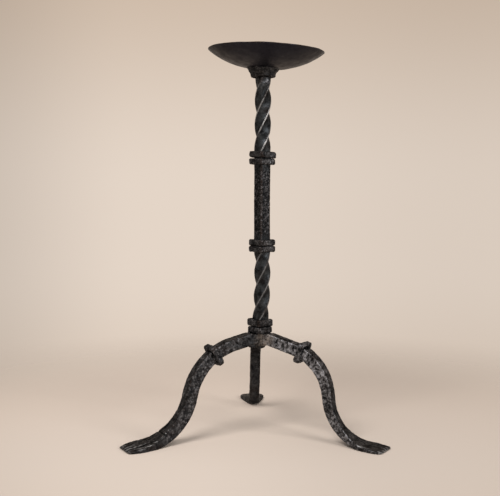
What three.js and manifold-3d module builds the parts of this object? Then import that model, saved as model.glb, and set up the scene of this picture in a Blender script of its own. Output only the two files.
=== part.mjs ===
// A torchere candle stand forged in iron, in millimetres with +Z up.
// A square bar, twisted over two lengths, stands in a hub on three S-bent legs with fan feet.
// Collars are wrapped round it in pairs, and a pricket holds a shallow dish on its top end.
import * as THREE from "three";
import { mergeVertices } from "three/addons/utils/BufferGeometryUtils.js";
import Module from "manifold-3d";

const wasm = await Module();
wasm.setup();

// Driving sizes: millimetres, and degrees for every angle.

const seatGap = 0.3; // room between two pieces that touch
const overrun = 20; // how far a cutting solid runs past what it cuts

const stem = {
  side: 25.4, // the square bar, flat to flat
  edgeRadius: 2.4,
  lowerTwistLength: 142.7,
  lowerTwistAngle: 266,
  middleLength: 157,
  middleTurn: 37.5, // how far the plain middle's flats are turned from +X
  upperTwistLength: 153.5,
  upperTwistAngle: 272,
  topTenonRadius: 7,
  topTenonGrip: 10, // how far the top tenon reaches above the dish
  footTenonRadius: 8,
  footHeadRadius: 11, // the tenon's riveted end under the hub
  footHeadHeight: 7.5,
};

// The bar isn't quite straight: how far its axis stands towards +X of the hub at each level.
const drift = { base: 0.9, waist: 4.2, neck: 4.8, seat: 6.2 };

// Collars of the stem, from the floor up. A tilted collar's -X side is the higher one. A wall
// is uneven where the collar's outside is shifted towards +X of the bar.
const collarForm = { cornerRadius: 6.5, bevel: 2.5, jointWidth: 0.8 };
const collarPairs = {
  base: [
    { name: "base_collar_lower", gapBelow: 0.3, height: 14, wall: 7, tilt: 0, shift: -0.9 },
    { name: "base_collar_upper", gapBelow: 0.3, height: 15, wall: 8, tilt: 2, shift: -0.9 },
  ],
  waist: [
    { name: "waist_collar_lower", gapBelow: 0.3, height: 12.6, wall: 8.6, tilt: 0, shift: 0 },
    { name: "waist_collar_upper", gapBelow: 0.6, height: 13.4, wall: 8.6, tilt: 0, shift: 0 },
  ],
  neck: [
    { name: "neck_collar_lower", gapBelow: 0.3, height: 12.8, wall: 8.4, tilt: 2.2, shift: -0.5 },
    { name: "neck_collar_upper", gapBelow: 0.8, height: 13.6, wall: 8.8, tilt: 3.9, shift: 0.8 },
  ],
};

const hub = {
  radius: 18,
  height: 26,
  riseAboveArch: 5.3, // its top, above where the legs' centre lines would meet
  undersideRound: 4,
  socketDepth: 8,
};

const legTenon = { radius: 6, length: 7.5 };
const legEdgeShare = 0.12; // rounding of a leg's edges, as a share of its width
const legCollar = {
  wall: 9,
  length: 13,
  lean: 4.5, // its upper end is turned this much towards the hub
  cornerRadius: 8,
  bevel: 3,
  jointWidth: 0.8,
};

// Each leg leaves the hub on a sloping arm, bends over the shoulder into the shank, bends back
// at the ankle and ends in its foot. Slopes are below level. A section gives the bar's width
// and thickness at a distance back from the tip of the foot.
const fanFoot = [
  { back: 0, width: 45, thickness: 6 },
  { back: 5, width: 55, thickness: 7.5 },
  { back: 25, width: 60, thickness: 11 },
  { back: 45, width: 55, thickness: 16 },
  { back: 70, width: 42, thickness: 21 },
  { back: 100, width: 30, thickness: 25 },
];
const legs = [
  {
    name: "left", azimuth: 209.8, armSlope: 11.6, armLength: 68.5, shoulderRadius: 129.6,
    shankSlope: 77.8, shankLength: 0.5, ankleRadius: 111, footSlope: 3.6, footLength: 44,
    collarAt: 117, sections: [...fanFoot, { back: 130, width: 25.8, thickness: 25.8 }],
  },
  {
    name: "right", azimuth: 327.6, armSlope: 13.6, armLength: 91, shoulderRadius: 100.8,
    shankSlope: 82.4, ankleRadius: 92, footSlope: 2.4, footLength: 40.5,
    collarAt: 107.5,
    sections: [
      { back: 0, width: 45, thickness: 5.5 },
      { back: 5, width: 55, thickness: 6.2 },
      { back: 25, width: 59, thickness: 8 },
      { back: 50, width: 51, thickness: 10.5 },
      { back: 73, width: 35, thickness: 14.4 },
      { back: 100, width: 24, thickness: 17.8 },
      { back: 130, width: 20.6, thickness: 20.6 },
      { back: 200, width: 22, thickness: 22 },
      { back: 280, width: 25, thickness: 25 },
    ],
  },
  {
    name: "back", azimuth: 93.2, armSlope: 12.5, armLength: 94.5, shoulderRadius: 105,
    shankSlope: 80, ankleRadius: 97, footSlope: 2, footLength: 53,
    collarAt: 114, sections: [...fanFoot, { back: 130, width: 23, thickness: 23 }],
  },
];

const seat = { lipRadius: 25.2, lipRound: 3, topRadius: 31, height: 15.8 };
// The dish's outer face is the lower part of an ellipsoid with an upright axis.
const dish = {
  acrossRadius: 150,
  downRadius: 91,
  rimRadius: 122,
  wall: 2.8,
  rimChamfer: 1, // degrees of the profile
  offset: 5, // its centre stands this far towards +X of the stem
  tilt: 2.2, // its +X side is the lower one
  nod: 0.9, // and so is its -Y side
};
const pricket = {
  flangeRadius: 17,
  flangeTop: 5.2, // above the dish's inner face
  bossRadius: 10.5,
  bossHeight: 13,
  bossTaper: 5, // height of the boss's cone, under the spike
  spikeRadius: 6,
  spikeHeight: 32,
  tipRadius: 1,
};

// Fineness of the round and bent stretches.
const bendStep = 6; // degrees of bend between two stations of a leg
const twistStep = 10; // degrees of twist between two stations of the stem
const stationStep = 24; // longest straight stretch between two stations
const turnedSegments = 24;
const dishSegments = 40;
const dishRings = 8;
const cornerParts = 3; // flats round a corner of a turned profile
const cornerArcs = 1; // flats round each corner of a bar
const collarCornerArcs = 2;

const quarter = Math.PI / 2;
const rad = THREE.MathUtils.degToRad;

// ---- Solids, booleans and meshes

function solidOf(geometry, matrix = new THREE.Matrix4()) {
  const bare = geometry.clone();
  bare.deleteAttribute("normal");
  bare.deleteAttribute("uv");
  bare.applyMatrix4(matrix);
  const merged = mergeVertices(bare, 1e-4);
  return new wasm.Manifold(new wasm.Mesh({
    numProp: 3,
    vertProperties: new Float32Array(merged.getAttribute("position").array),
    triVerts: new Uint32Array(merged.index.array),
  }));
}

function geometryOf(solid) {
  const mesh = solid.getMesh();
  const geometry = new THREE.BufferGeometry();
  geometry.setAttribute("position", new THREE.BufferAttribute(mesh.vertProperties, 3));
  geometry.setIndex(new THREE.BufferAttribute(mesh.triVerts, 1));
  geometry.computeVertexNormals();
  return geometry;
}

function ironMesh(name, geometry, color = "#25262a", roughness = 0.55) {
  const material = new THREE.MeshStandardMaterial({ color, roughness, metalness: 0.85 });
  const mesh = new THREE.Mesh(geometry, material);
  mesh.name = name;
  return mesh;
}

// ---- Shapes that several pieces use

function roundedSquare(side, radius) {
  const centre = side / 2 - radius;
  const shape = new THREE.Shape();
  shape.absarc(centre, centre, radius, 0, quarter);
  shape.absarc(-centre, centre, radius, quarter, 2 * quarter);
  shape.absarc(-centre, -centre, radius, 2 * quarter, 3 * quarter);
  shape.absarc(centre, -centre, radius, 3 * quarter, 4 * quarter);
  return shape;
}

// A straight bar whose layers are moved one by one to their stations.
function forgedBar(section, stations) {
  const layers = stations.length - 1;
  const geometry = new THREE.ExtrudeGeometry(section, {
    depth: layers, steps: layers, bevelEnabled: false, curveSegments: cornerArcs,
  });
  const position = geometry.getAttribute("position");
  const point = new THREE.Vector3();
  for (let i = 0; i < position.count; i += 1) {
    const layer = Math.round(position.getZ(i));
    point.set(position.getX(i), position.getY(i), 0).applyMatrix4(stations[layer]);
    position.setXYZ(i, point.x, point.y, point.z);
  }
  return geometry;
}

// A bevelled square block from z = 0 up, which becomes a collar once its hole is cut.
function collarBlock(side, height, form) {
  const geometry = new THREE.ExtrudeGeometry(roundedSquare(side, form.cornerRadius), {
    depth: height - 2 * form.bevel,
    bevelThickness: form.bevel,
    bevelSize: form.bevel,
    bevelOffset: -form.bevel,
    bevelSegments: 2,
    curveSegments: collarCornerArcs,
  });
  return geometry.translate(0, 0, form.bevel);
}

// The butt joint of a wrapped collar: a thin slot through its wall on the given side of the hole.
function buttJoint(form, reach, height, side) {
  const slot = new THREE.BoxGeometry(form.jointWidth, reach, height + overrun);
  return solidOf(slot.translate(0, side * reach / 2, 0));
}

function cylinder(radius, bottom, top) {
  const geometry = new THREE.CylinderGeometry(radius, radius, top - bottom, turnedSegments);
  return geometry.rotateX(quarter).translate(0, 0, (top + bottom) / 2);
}

// A rounded lower corner of a turned profile, from straight below its centre to straight out.
function cornerPoints(radius, height, roundOut, roundDown = roundOut) {
  return Array.from({ length: cornerParts + 1 }, (_, k) => {
    const angle = (k / cornerParts) * quarter;
    return [radius + roundOut * Math.sin(angle), height - roundDown * Math.cos(angle)];
  });
}

function turned(points, segments = turnedSegments) {
  const profile = points.map(([radius, height]) => new THREE.Vector2(radius, height));
  return new THREE.LatheGeometry(profile, segments).rotateX(quarter);
}

// ---- Legs: the path of the centre line, in the leg's own upright plane

function sectionAt(leg, back) {
  const rows = leg.sections;
  const next = rows.findIndex((row) => row.back > back);
  if (next < 0) {
    return rows[rows.length - 1];
  }
  const [low, high] = [rows[next - 1], rows[next]];
  const share = (back - low.back) / (high.back - low.back);
  return {
    width: THREE.MathUtils.lerp(low.width, high.width, share),
    thickness: THREE.MathUtils.lerp(low.thickness, high.thickness, share),
  };
}

function stretchesOf(leg, shankLength) {
  const bend = (radius, from, to) => ({ from, to, length: radius * rad(Math.abs(to - from)) });
  return [
    { from: leg.armSlope, to: leg.armSlope, length: leg.armLength },
    bend(leg.shoulderRadius, leg.armSlope, leg.shankSlope),
    { from: leg.shankSlope, to: leg.shankSlope, length: shankLength },
    bend(leg.ankleRadius, leg.shankSlope, leg.footSlope),
    { from: leg.footSlope, to: leg.footSlope, length: leg.footLength },
  ];
}

// The run and drop of the first part, of the given length, of one stretch.
function alongStretch(stretch, length) {
  const start = rad(stretch.from);
  const turn = rad(stretch.to - stretch.from) * (length / (stretch.length || 1));
  if (Math.abs(turn) < 1e-9) {
    return { run: length * Math.cos(start), drop: length * Math.sin(start), slope: start };
  }
  const radius = length / turn;
  return {
    run: radius * (Math.sin(start + turn) - Math.sin(start)),
    drop: radius * (Math.cos(start) - Math.cos(start + turn)),
    slope: start + turn,
  };
}

function dropOf(stretches) {
  return stretches.reduce((sum, stretch) => sum + alongStretch(stretch, stretch.length).drop, 0);
}

const tipHeight = (leg) => leg.sections[0].thickness / 2;
// The left leg sets the height where the centre lines meet. The other shanks are cut to suit.
const archHeight = tipHeight(legs[0]) + dropOf(stretchesOf(legs[0], legs[0].shankLength));

function pathOf(leg) {
  const unshanked = dropOf(stretchesOf(leg, 0)) + tipHeight(leg);
  const shankLength = (archHeight - unshanked) / Math.sin(rad(leg.shankSlope));
  const stretches = stretchesOf(leg, shankLength);
  const length = stretches.reduce((sum, stretch) => sum + stretch.length, 0);
  return { leg, stretches, length };
}

// The centre line's place and slope at a distance from the stem's axis, measured along it.
function pathPoint(path, distance) {
  const point = { run: 0, height: archHeight, slope: 0 };
  let left = distance;
  for (const stretch of path.stretches) {
    const part = alongStretch(stretch, Math.min(left, stretch.length));
    point.run += part.run;
    point.height -= part.drop;
    point.slope = part.slope;
    left -= stretch.length;
    if (left <= 0) {
      break;
    }
  }
  return point;
}

// The frame at a distance along a leg: X across it, Y out of its upper face, Z along it.
function frameAt(path, distance) {
  const { run, height, slope } = pathPoint(path, distance);
  const across = new THREE.Vector3(0, 1, 0);
  const upper = new THREE.Vector3(Math.sin(slope), 0, Math.cos(slope));
  const along = new THREE.Vector3(Math.cos(slope), 0, -Math.sin(slope));
  return new THREE.Matrix4().makeBasis(across, upper, along).setPosition(run, 0, height);
}

function stationDistances(path, first) {
  const marks = [first];
  let start = 0;
  for (const stretch of path.stretches) {
    const bend = Math.abs(stretch.to - stretch.from);
    const parts = Math.ceil(Math.max(bend / bendStep, stretch.length / stationStep));
    for (let k = 1; k <= parts; k += 1) {
      marks.push(start + (k / parts) * stretch.length);
    }
    start += stretch.length;
  }
  const footMarks = path.leg.sections.map((row) => path.length - row.back);
  const all = [...marks, ...footMarks].filter((mark) => mark >= first);
  all.sort((a, b) => a - b);
  return all.filter((mark, i) => i === 0 || mark - all[i - 1] > 1);
}

function forgedLeg(path, grow) {
  const first = hub.radius / 2;
  const stations = stationDistances(path, first).map((distance) => {
    const { width, thickness } = sectionAt(path.leg, path.length - distance);
    const size = new THREE.Matrix4().makeScale(width + 2 * grow, thickness + 2 * grow, 1);
    return frameAt(path, distance).multiply(size);
  });
  return forgedBar(roundedSquare(1, legEdgeShare), stations);
}

function flattenBelowFloor(geometry) {
  const position = geometry.getAttribute("position");
  for (let i = 0; i < position.count; i += 1) {
    position.setZ(i, Math.max(position.getZ(i), 0));
  }
  return geometry;
}

// ---- Levels of the stem

// The room that a collar needs where it is tilted against what is above or below it.
function tiltRoom(collar, tilt) {
  return (stem.side / 2 + collar.wall) * Math.tan(rad(Math.abs(collar.tilt - tilt)));
}

function stack(pair, bottom) {
  let [level, tilt] = [bottom, 0];
  const collars = pair.map((collar) => {
    const low = level + collar.gapBelow + tiltRoom(collar, tilt);
    level = low + collar.height;
    tilt = collar.tilt;
    return { ...collar, low };
  });
  return { collars, bottom, top: level + tiltRoom(collars[collars.length - 1], 0) };
}

const hubTop = archHeight + hub.riseAboveArch;
const hubBottom = hubTop - hub.height;
const base = stack(collarPairs.base, hubTop);
const waist = stack(collarPairs.waist, base.top + stem.lowerTwistLength);
const neck = stack(collarPairs.neck, waist.top + stem.middleLength);
const seatBottom = neck.top + stem.upperTwistLength;

const dishPlace = new THREE.Matrix4()
  .makeTranslation(drift.seat + dish.offset, 0, seatBottom + seat.height)
  .multiply(new THREE.Matrix4().makeRotationFromEuler(
    new THREE.Euler(rad(dish.nod), rad(dish.tilt), 0),
  ));

// The radius and height of the dish's profile at an angle from straight down. The inset moves
// it from the outer face into the dish.
function dishPoint(angle, inset) {
  const across = (dish.acrossRadius - inset) * Math.sin(angle);
  return [across, dish.downRadius - (dish.downRadius - inset) * Math.cos(angle)];
}

// Where a vertical line at the top of the stem meets the dish's inner face.
function dishInsideHeight() {
  const across = dish.acrossRadius - dish.wall;
  const ball = dishPlace.clone()
    .multiply(new THREE.Matrix4().makeTranslation(0, 0, dish.downRadius))
    .multiply(new THREE.Matrix4().makeScale(across, across, dish.downRadius - dish.wall));
  const below = new THREE.Vector3(drift.seat, 0, 0);
  const ray = new THREE.Ray(below, new THREE.Vector3(0, 0, 1)).applyMatrix4(ball.clone().invert());
  const met = ray.intersectSphere(new THREE.Sphere(new THREE.Vector3(), 1), new THREE.Vector3());
  return met.applyMatrix4(ball).z;
}
const dishInside = dishInsideHeight();

// The bar leaves one level at a lean and comes upright at the next.
function easedBetween(level, low, high, from, to) {
  const share = THREE.MathUtils.clamp((level - low) / (high - low), 0, 1);
  return THREE.MathUtils.lerp(from, to, share * (2 - share));
}

function driftAt(level) {
  if (level <= waist.bottom) {
    return easedBetween(level, base.top, waist.bottom, drift.base, drift.waist);
  }
  if (level <= neck.bottom) {
    return easedBetween(level, waist.top, neck.bottom, drift.waist, drift.neck);
  }
  return easedBetween(level, neck.top, seatBottom, drift.neck, drift.seat);
}

function turnAt(level) {
  const { mapLinear, clamp } = THREE.MathUtils;
  const below = clamp(mapLinear(level, base.top, waist.bottom, -stem.lowerTwistAngle, 0),
    -stem.lowerTwistAngle, 0);
  const above = clamp(mapLinear(level, neck.top, seatBottom, 0, stem.upperTwistAngle),
    0, stem.upperTwistAngle);
  return rad(stem.middleTurn + below + above);
}

function levelsBetween(low, high, parts) {
  return Array.from({ length: parts }, (_, k) => THREE.MathUtils.lerp(low, high, (k + 1) / parts));
}

function stemFrame(level) {
  const turn = new THREE.Matrix4().makeRotationZ(turnAt(level));
  return new THREE.Matrix4().makeTranslation(driftAt(level), 0, level).multiply(turn);
}

// ---- The pieces

function makeStemBar() {
  const straightParts = Math.ceil(stem.middleLength / stationStep);
  const levels = [
    base.bottom,
    base.top,
    ...levelsBetween(base.top, waist.bottom, Math.ceil(stem.lowerTwistAngle / twistStep)),
    waist.top,
    ...levelsBetween(waist.top, neck.bottom, straightParts),
    neck.top,
    ...levelsBetween(neck.top, seatBottom, Math.ceil(stem.upperTwistAngle / twistStep)),
  ];
  const section = roundedSquare(stem.side, stem.edgeRadius);
  const bar = solidOf(forgedBar(section, levels.map(stemFrame)));
  const tenonTop = dishInside + stem.topTenonGrip;
  const topTenon = solidOf(
    cylinder(stem.topTenonRadius, seatBottom - stem.side, tenonTop).translate(drift.seat, 0, 0),
  );
  const headTop = hubBottom - seatGap;
  const footTenon = solidOf(turned([
    ...cornerPoints(0, headTop, stem.footHeadRadius, stem.footHeadHeight),
    [stem.footTenonRadius, headTop],
    [stem.footTenonRadius, base.bottom + stem.side],
    [0, base.bottom + stem.side],
  ]));
  return ironMesh("stem_bar", geometryOf(bar.add(topTenon).add(footTenon)));
}

function makeCollar(collar) {
  const side = stem.side + 2 * (seatGap + collar.wall);
  const middle = collar.low + collar.height / 2;
  const tilt = new THREE.Matrix4().makeRotationY(rad(collar.tilt));
  const turn = new THREE.Matrix4().makeRotationZ(turnAt(middle));
  const centred = new THREE.Matrix4().makeTranslation(0, 0, -collar.height / 2);
  const shift = new THREE.Matrix4().makeTranslation(collar.shift, 0, 0);
  const outer = turn.clone().invert().multiply(shift).multiply(tilt).multiply(turn)
    .multiply(centred);
  const block = solidOf(collarBlock(side, collar.height, collarForm), outer);
  const clear = roundedSquare(stem.side + 2 * seatGap, stem.edgeRadius + seatGap);
  const reach = collar.height + overrun;
  const hole = new THREE.ExtrudeGeometry(clear, {
    depth: 2 * reach, bevelEnabled: false, curveSegments: cornerArcs,
  });
  const bore = solidOf(hole.translate(0, 0, -reach));
  const joint = buttJoint(collarForm, side, collar.height, 1);
  const mesh = ironMesh(collar.name, geometryOf(block.subtract(bore).subtract(joint)));
  mesh.position.set(driftAt(middle), 0, middle);
  mesh.rotation.z = turnAt(middle);
  return mesh;
}

function makeHub(paths) {
  const bore = stem.footTenonRadius + seatGap;
  const round = hub.undersideRound;
  let solid = solidOf(turned([
    [bore, hubBottom],
    ...cornerPoints(hub.radius - round, hubBottom + round, round),
    [hub.radius, hubTop],
    [bore, hubTop],
    [bore, hubBottom],
  ]));
  for (const path of paths) {
    const socket = radialPin(path, legTenon.radius + seatGap, hub.radius - hub.socketDepth);
    const turn = new THREE.Matrix4().makeRotationZ(rad(path.leg.azimuth));
    solid = solid.subtract(solidOf(socket, turn));
  }
  return ironMesh("hub", geometryOf(solid));
}

// A level pin from a given distance off the stem's axis out into the root of the leg.
function radialPin(path, radius, start) {
  const rootHeight = archHeight - hub.radius * Math.tan(rad(path.leg.armSlope));
  const end = hub.radius + 2 * legTenon.radius;
  return cylinder(radius, start, end).rotateY(quarter).translate(0, 0, rootHeight);
}

function makeLeg(path) {
  const stock = solidOf(flattenBelowFloor(forgedLeg(path, 0)));
  const hubRoom = solidOf(cylinder(hub.radius + seatGap, hubBottom - overrun, hubTop + overrun));
  const lowest = collarPairs.base[0];
  const collarReach = (stem.side / 2 + lowest.wall) * Math.SQRT2;
  const collarRoom = solidOf(cylinder(collarReach, hubTop, hubTop + overrun));
  const tenon = solidOf(radialPin(path, legTenon.radius, hub.radius - legTenon.length));
  const solid = stock.subtract(hubRoom).subtract(collarRoom).add(tenon);
  const mesh = ironMesh(`leg_${path.leg.name}`, geometryOf(solid), "#2b2a2c", 0.65);
  mesh.rotation.z = rad(path.leg.azimuth);
  return mesh;
}

function makeLegCollar(path) {
  const { thickness } = sectionAt(path.leg, path.length - path.leg.collarAt);
  const side = thickness + 2 * (seatGap + legCollar.wall);
  const block = collarBlock(side, legCollar.length, legCollar);
  const centred = block.translate(0, 0, -legCollar.length / 2);
  const lean = new THREE.Matrix4().makeRotationX(rad(-legCollar.lean));
  const place = frameAt(path, path.leg.collarAt).multiply(lean);
  const outer = solidOf(centred, place);
  const joint = buttJoint(legCollar, side, legCollar.length, -1).transform(place.elements);
  const bored = outer.subtract(solidOf(forgedLeg(path, seatGap))).subtract(joint);
  const mesh = ironMesh(`leg_collar_${path.leg.name}`, geometryOf(bored), "#2b2a2c", 0.6);
  mesh.rotation.z = rad(path.leg.azimuth);
  return mesh;
}

// What lies inside the dish's profile, moved in by the inset, up to the level of the rim.
function dishFilling(inset) {
  const rimAngle = Math.asin(dish.rimRadius / (dish.acrossRadius - inset));
  const points = Array.from({ length: dishRings + 1 }, (_, k) => (
    dishPoint((k / dishRings) * rimAngle, inset)
  ));
  points.push([0, points[dishRings][1]]);
  return solidOf(turned(points, dishSegments), dishPlace);
}

function makeDishSeat() {
  const bore = stem.topTenonRadius + seatGap;
  const lip = seat.lipRound;
  const flare = (seat.topRadius - seat.lipRadius) / (seat.height - lip);
  const body = turned([
    [bore, 0],
    ...cornerPoints(seat.lipRadius - lip, lip, lip),
    [seat.topRadius + flare * overrun, seat.height + overrun],
    [bore, seat.height + overrun],
    [bore, 0],
  ]).translate(drift.seat, 0, seatBottom);
  const solid = solidOf(body).subtract(dishFilling(-seatGap));
  return ironMesh("dish_seat", geometryOf(solid));
}

function makeDish() {
  const rimAngle = Math.asin(dish.rimRadius / (dish.acrossRadius - dish.wall / 2));
  const edge = rimAngle - rad(dish.rimChamfer);
  const rings = Array.from({ length: dishRings + 1 }, (_, k) => (k / dishRings) * edge);
  const profile = [
    ...rings.map((angle) => dishPoint(angle, 0)),
    dishPoint(rimAngle, dish.wall / 2),
    ...rings.reverse().map((angle) => dishPoint(angle, dish.wall)),
  ];
  const shell = solidOf(turned(profile, dishSegments), dishPlace);
  const hole = cylinder(stem.topTenonRadius + seatGap, seatBottom, dishInside + overrun);
  const solid = shell.subtract(solidOf(hole.translate(drift.seat, 0, 0)));
  return ironMesh("dish", geometryOf(solid), "#231f20", 0.45);
}

function makePricket() {
  const top = dishInside + pricket.flangeTop;
  const shoulder = top + pricket.bossHeight;
  const tip = shoulder + pricket.spikeHeight;
  const body = solidOf(turned([
    [0, dishInside - pricket.flangeTop],
    [pricket.flangeRadius, dishInside - pricket.flangeTop],
    [pricket.flangeRadius, top],
    [pricket.bossRadius, top],
    [pricket.bossRadius, shoulder - pricket.bossTaper],
    [pricket.spikeRadius, shoulder],
    [pricket.tipRadius, tip - pricket.tipRadius],
    [0, tip],
  ]).translate(drift.seat, 0, 0));
  const socketTop = dishInside + stem.topTenonGrip + seatGap;
  const socket = cylinder(stem.topTenonRadius + seatGap, seatBottom, socketTop);
  const bowl = dishFilling(dish.wall + seatGap);
  const bored = body.subtract(solidOf(socket.translate(drift.seat, 0, 0)));
  const above = solidOf(cylinder(pricket.flangeRadius + overrun, top, tip)
    .translate(drift.seat, 0, 0));
  return ironMesh("pricket", geometryOf(bored.intersect(bowl.add(above))));
}

// ---- The stand

const paths = legs.map(pathOf);
const stand = new THREE.Group();
stand.add(makeStemBar());
for (const pair of [base, waist, neck]) {
  for (const collar of pair.collars) {
    stand.add(makeCollar(collar));
  }
}
stand.add(makeHub(paths));
for (const path of paths) {
  stand.add(makeLeg(path));
  stand.add(makeLegCollar(path));
}
stand.add(makeDishSeat());
stand.add(makeDish());
stand.add(makePricket());

// The origin is on the floor, under the middle of the stand's outline.
stand.updateMatrixWorld(true);
const outline = new THREE.Box3().setFromObject(stand, true);
const middle = outline.getCenter(new THREE.Vector3());
stand.position.set(-middle.x, -middle.y, -outline.min.z);

export default stand;
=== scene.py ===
"""A hand-forged iron torchere: a twisted bar on three S-bent legs, with wrapped collars and a dish.

Each CAD node is replaced by a finer forged piece in the same place. Lengths are in metres, and
+Z is up.
"""

from functools import partial
from math import asin, ceil, cos, hypot, inf, pi, radians, sin, sqrt, tan

import bmesh
import bpy
import numpy as np
from bpy.props import FloatProperty, FloatVectorProperty, IntProperty, PointerProperty
from mathutils import Matrix, Vector


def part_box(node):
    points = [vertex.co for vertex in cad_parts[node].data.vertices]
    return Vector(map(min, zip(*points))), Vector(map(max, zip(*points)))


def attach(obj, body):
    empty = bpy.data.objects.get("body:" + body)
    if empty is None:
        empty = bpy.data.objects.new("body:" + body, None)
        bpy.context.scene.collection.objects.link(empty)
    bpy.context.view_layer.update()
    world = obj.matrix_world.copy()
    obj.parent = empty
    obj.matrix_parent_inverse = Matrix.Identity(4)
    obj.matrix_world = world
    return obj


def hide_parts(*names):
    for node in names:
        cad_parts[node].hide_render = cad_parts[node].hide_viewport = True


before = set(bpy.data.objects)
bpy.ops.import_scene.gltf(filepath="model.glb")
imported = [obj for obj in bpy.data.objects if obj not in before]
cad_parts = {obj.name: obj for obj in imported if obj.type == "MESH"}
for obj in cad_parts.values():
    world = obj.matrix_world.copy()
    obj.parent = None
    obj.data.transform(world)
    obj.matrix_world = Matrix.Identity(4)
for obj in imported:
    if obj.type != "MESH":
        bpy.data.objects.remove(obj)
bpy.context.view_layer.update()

bl_info = {
    "name": "Forged Candle Stand",
    "version": (1, 0, 0),
    "blender": (4, 5, 0),
    "location": "3D Viewport > Sidebar > Candle Stand",
    "description": "Builds a hand-forged iron torchere and the studio it stands in",
    "category": "Object",
}

MM = 0.001
GAP = 0.3 * MM  # room between two pieces that touch
MESH_STEP = 1.3 * MM  # spacing of the vertices on bars and collars
ARRIS = 3 * MM  # corner radius of a leg, and of the hole through its collar
GROOVE_SPACING = 3.4 * MM  # from one groove of a foot to the next
GROOVE_WAVES = 12.0  # bends of a groove's depth in a metre of its length
PAPER_REACH = 1.3  # radius of the paper sheet

# The camera looks along +Y and a little down.
CAMERA_PLACE = (-0.0103, -1.944, 0.5193)
CAMERA_DIP = radians(3.82)
SENSOR_WIDTH = 36  # mm
IMAGE_WIDTH = 500  # pixels

# Softboxes: azimuth and elevation of the direction they stand in, in degrees, then how far off
# they are and how wide.
SOFTBOX_TARGET = Vector((0, 0, 0.4))
SOFTBOXES = {
    "key": (238, 50, 2.4, 1.1),
    "fill": (316, 52, 2.6, 1.0),
    "low": (318, 14, 2.4, 0.9),
}


# ---- Places that the frame gives


def middle_of(node):
    low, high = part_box(node)
    return (low + high) / 2


HUB_AXIS = middle_of("hub")
HUB_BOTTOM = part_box("hub")[0].z
HUB_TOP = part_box("hub")[1].z
WAIST_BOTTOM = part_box("waist_collar_lower")[0].z - GAP
WAIST_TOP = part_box("waist_collar_upper")[1].z
SEAT_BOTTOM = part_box("dish_seat")[0].z
TENON_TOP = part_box("stem_bar")[1].z
HEAD_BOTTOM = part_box("stem_bar")[0].z
WELD_PLACE = HUB_AXIS + Vector((11, -20, 1)) * MM  # where the right leg meets the hub

# The straight lengths between the pairs of collars.
LOWER_TWIST_LENGTH = 142.7 * MM
MIDDLE_LENGTH = 157 * MM
UPPER_TWIST_LENGTH = 153.5 * MM
BASE_TOP = WAIST_BOTTOM - LOWER_TWIST_LENGTH
NECK_BOTTOM = WAIST_TOP + MIDDLE_LENGTH
NECK_TOP = SEAT_BOTTOM - UPPER_TWIST_LENGTH

# How far the bar's axis stands towards +X of the hub, from each stretch's lower end to its upper
# one, and how far the stretch bows out between them: the bar isn't quite straight.
LEAN_STRETCHES = (
    (BASE_TOP, WAIST_BOTTOM, 0.9 * MM, 4.2 * MM, 1.3 * MM),
    (WAIST_TOP, NECK_BOTTOM, 4.2 * MM, 4.8 * MM, -0.5 * MM),
    (NECK_TOP, SEAT_BOTTOM, 4.8 * MM, 6.2 * MM, 0),
)
SEAT_LEAN = LEAN_STRETCHES[-1][3]

# Stem collars from the floor up: height, wall, tilt in degrees (the -X side is the higher one),
# how far the outside is shifted towards +X of the bar, and how bare of scale the collar is.
STEM_COLLARS = {
    "base_collar_lower": (14 * MM, 7 * MM, 0, -0.9 * MM, 0.6),
    "base_collar_upper": (15 * MM, 8 * MM, 2, -0.9 * MM, 0.5),
    "waist_collar_lower": (12.6 * MM, 8.6 * MM, 0, 0, 0.6),
    "waist_collar_upper": (13.4 * MM, 8.6 * MM, 0, 0, 0.5),
    "neck_collar_lower": (12.8 * MM, 8.4 * MM, 2.2, -0.5 * MM, 0.45),
    "neck_collar_upper": (13.6 * MM, 8.8 * MM, 3.9, 0.8 * MM, 0.3),
}

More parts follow.
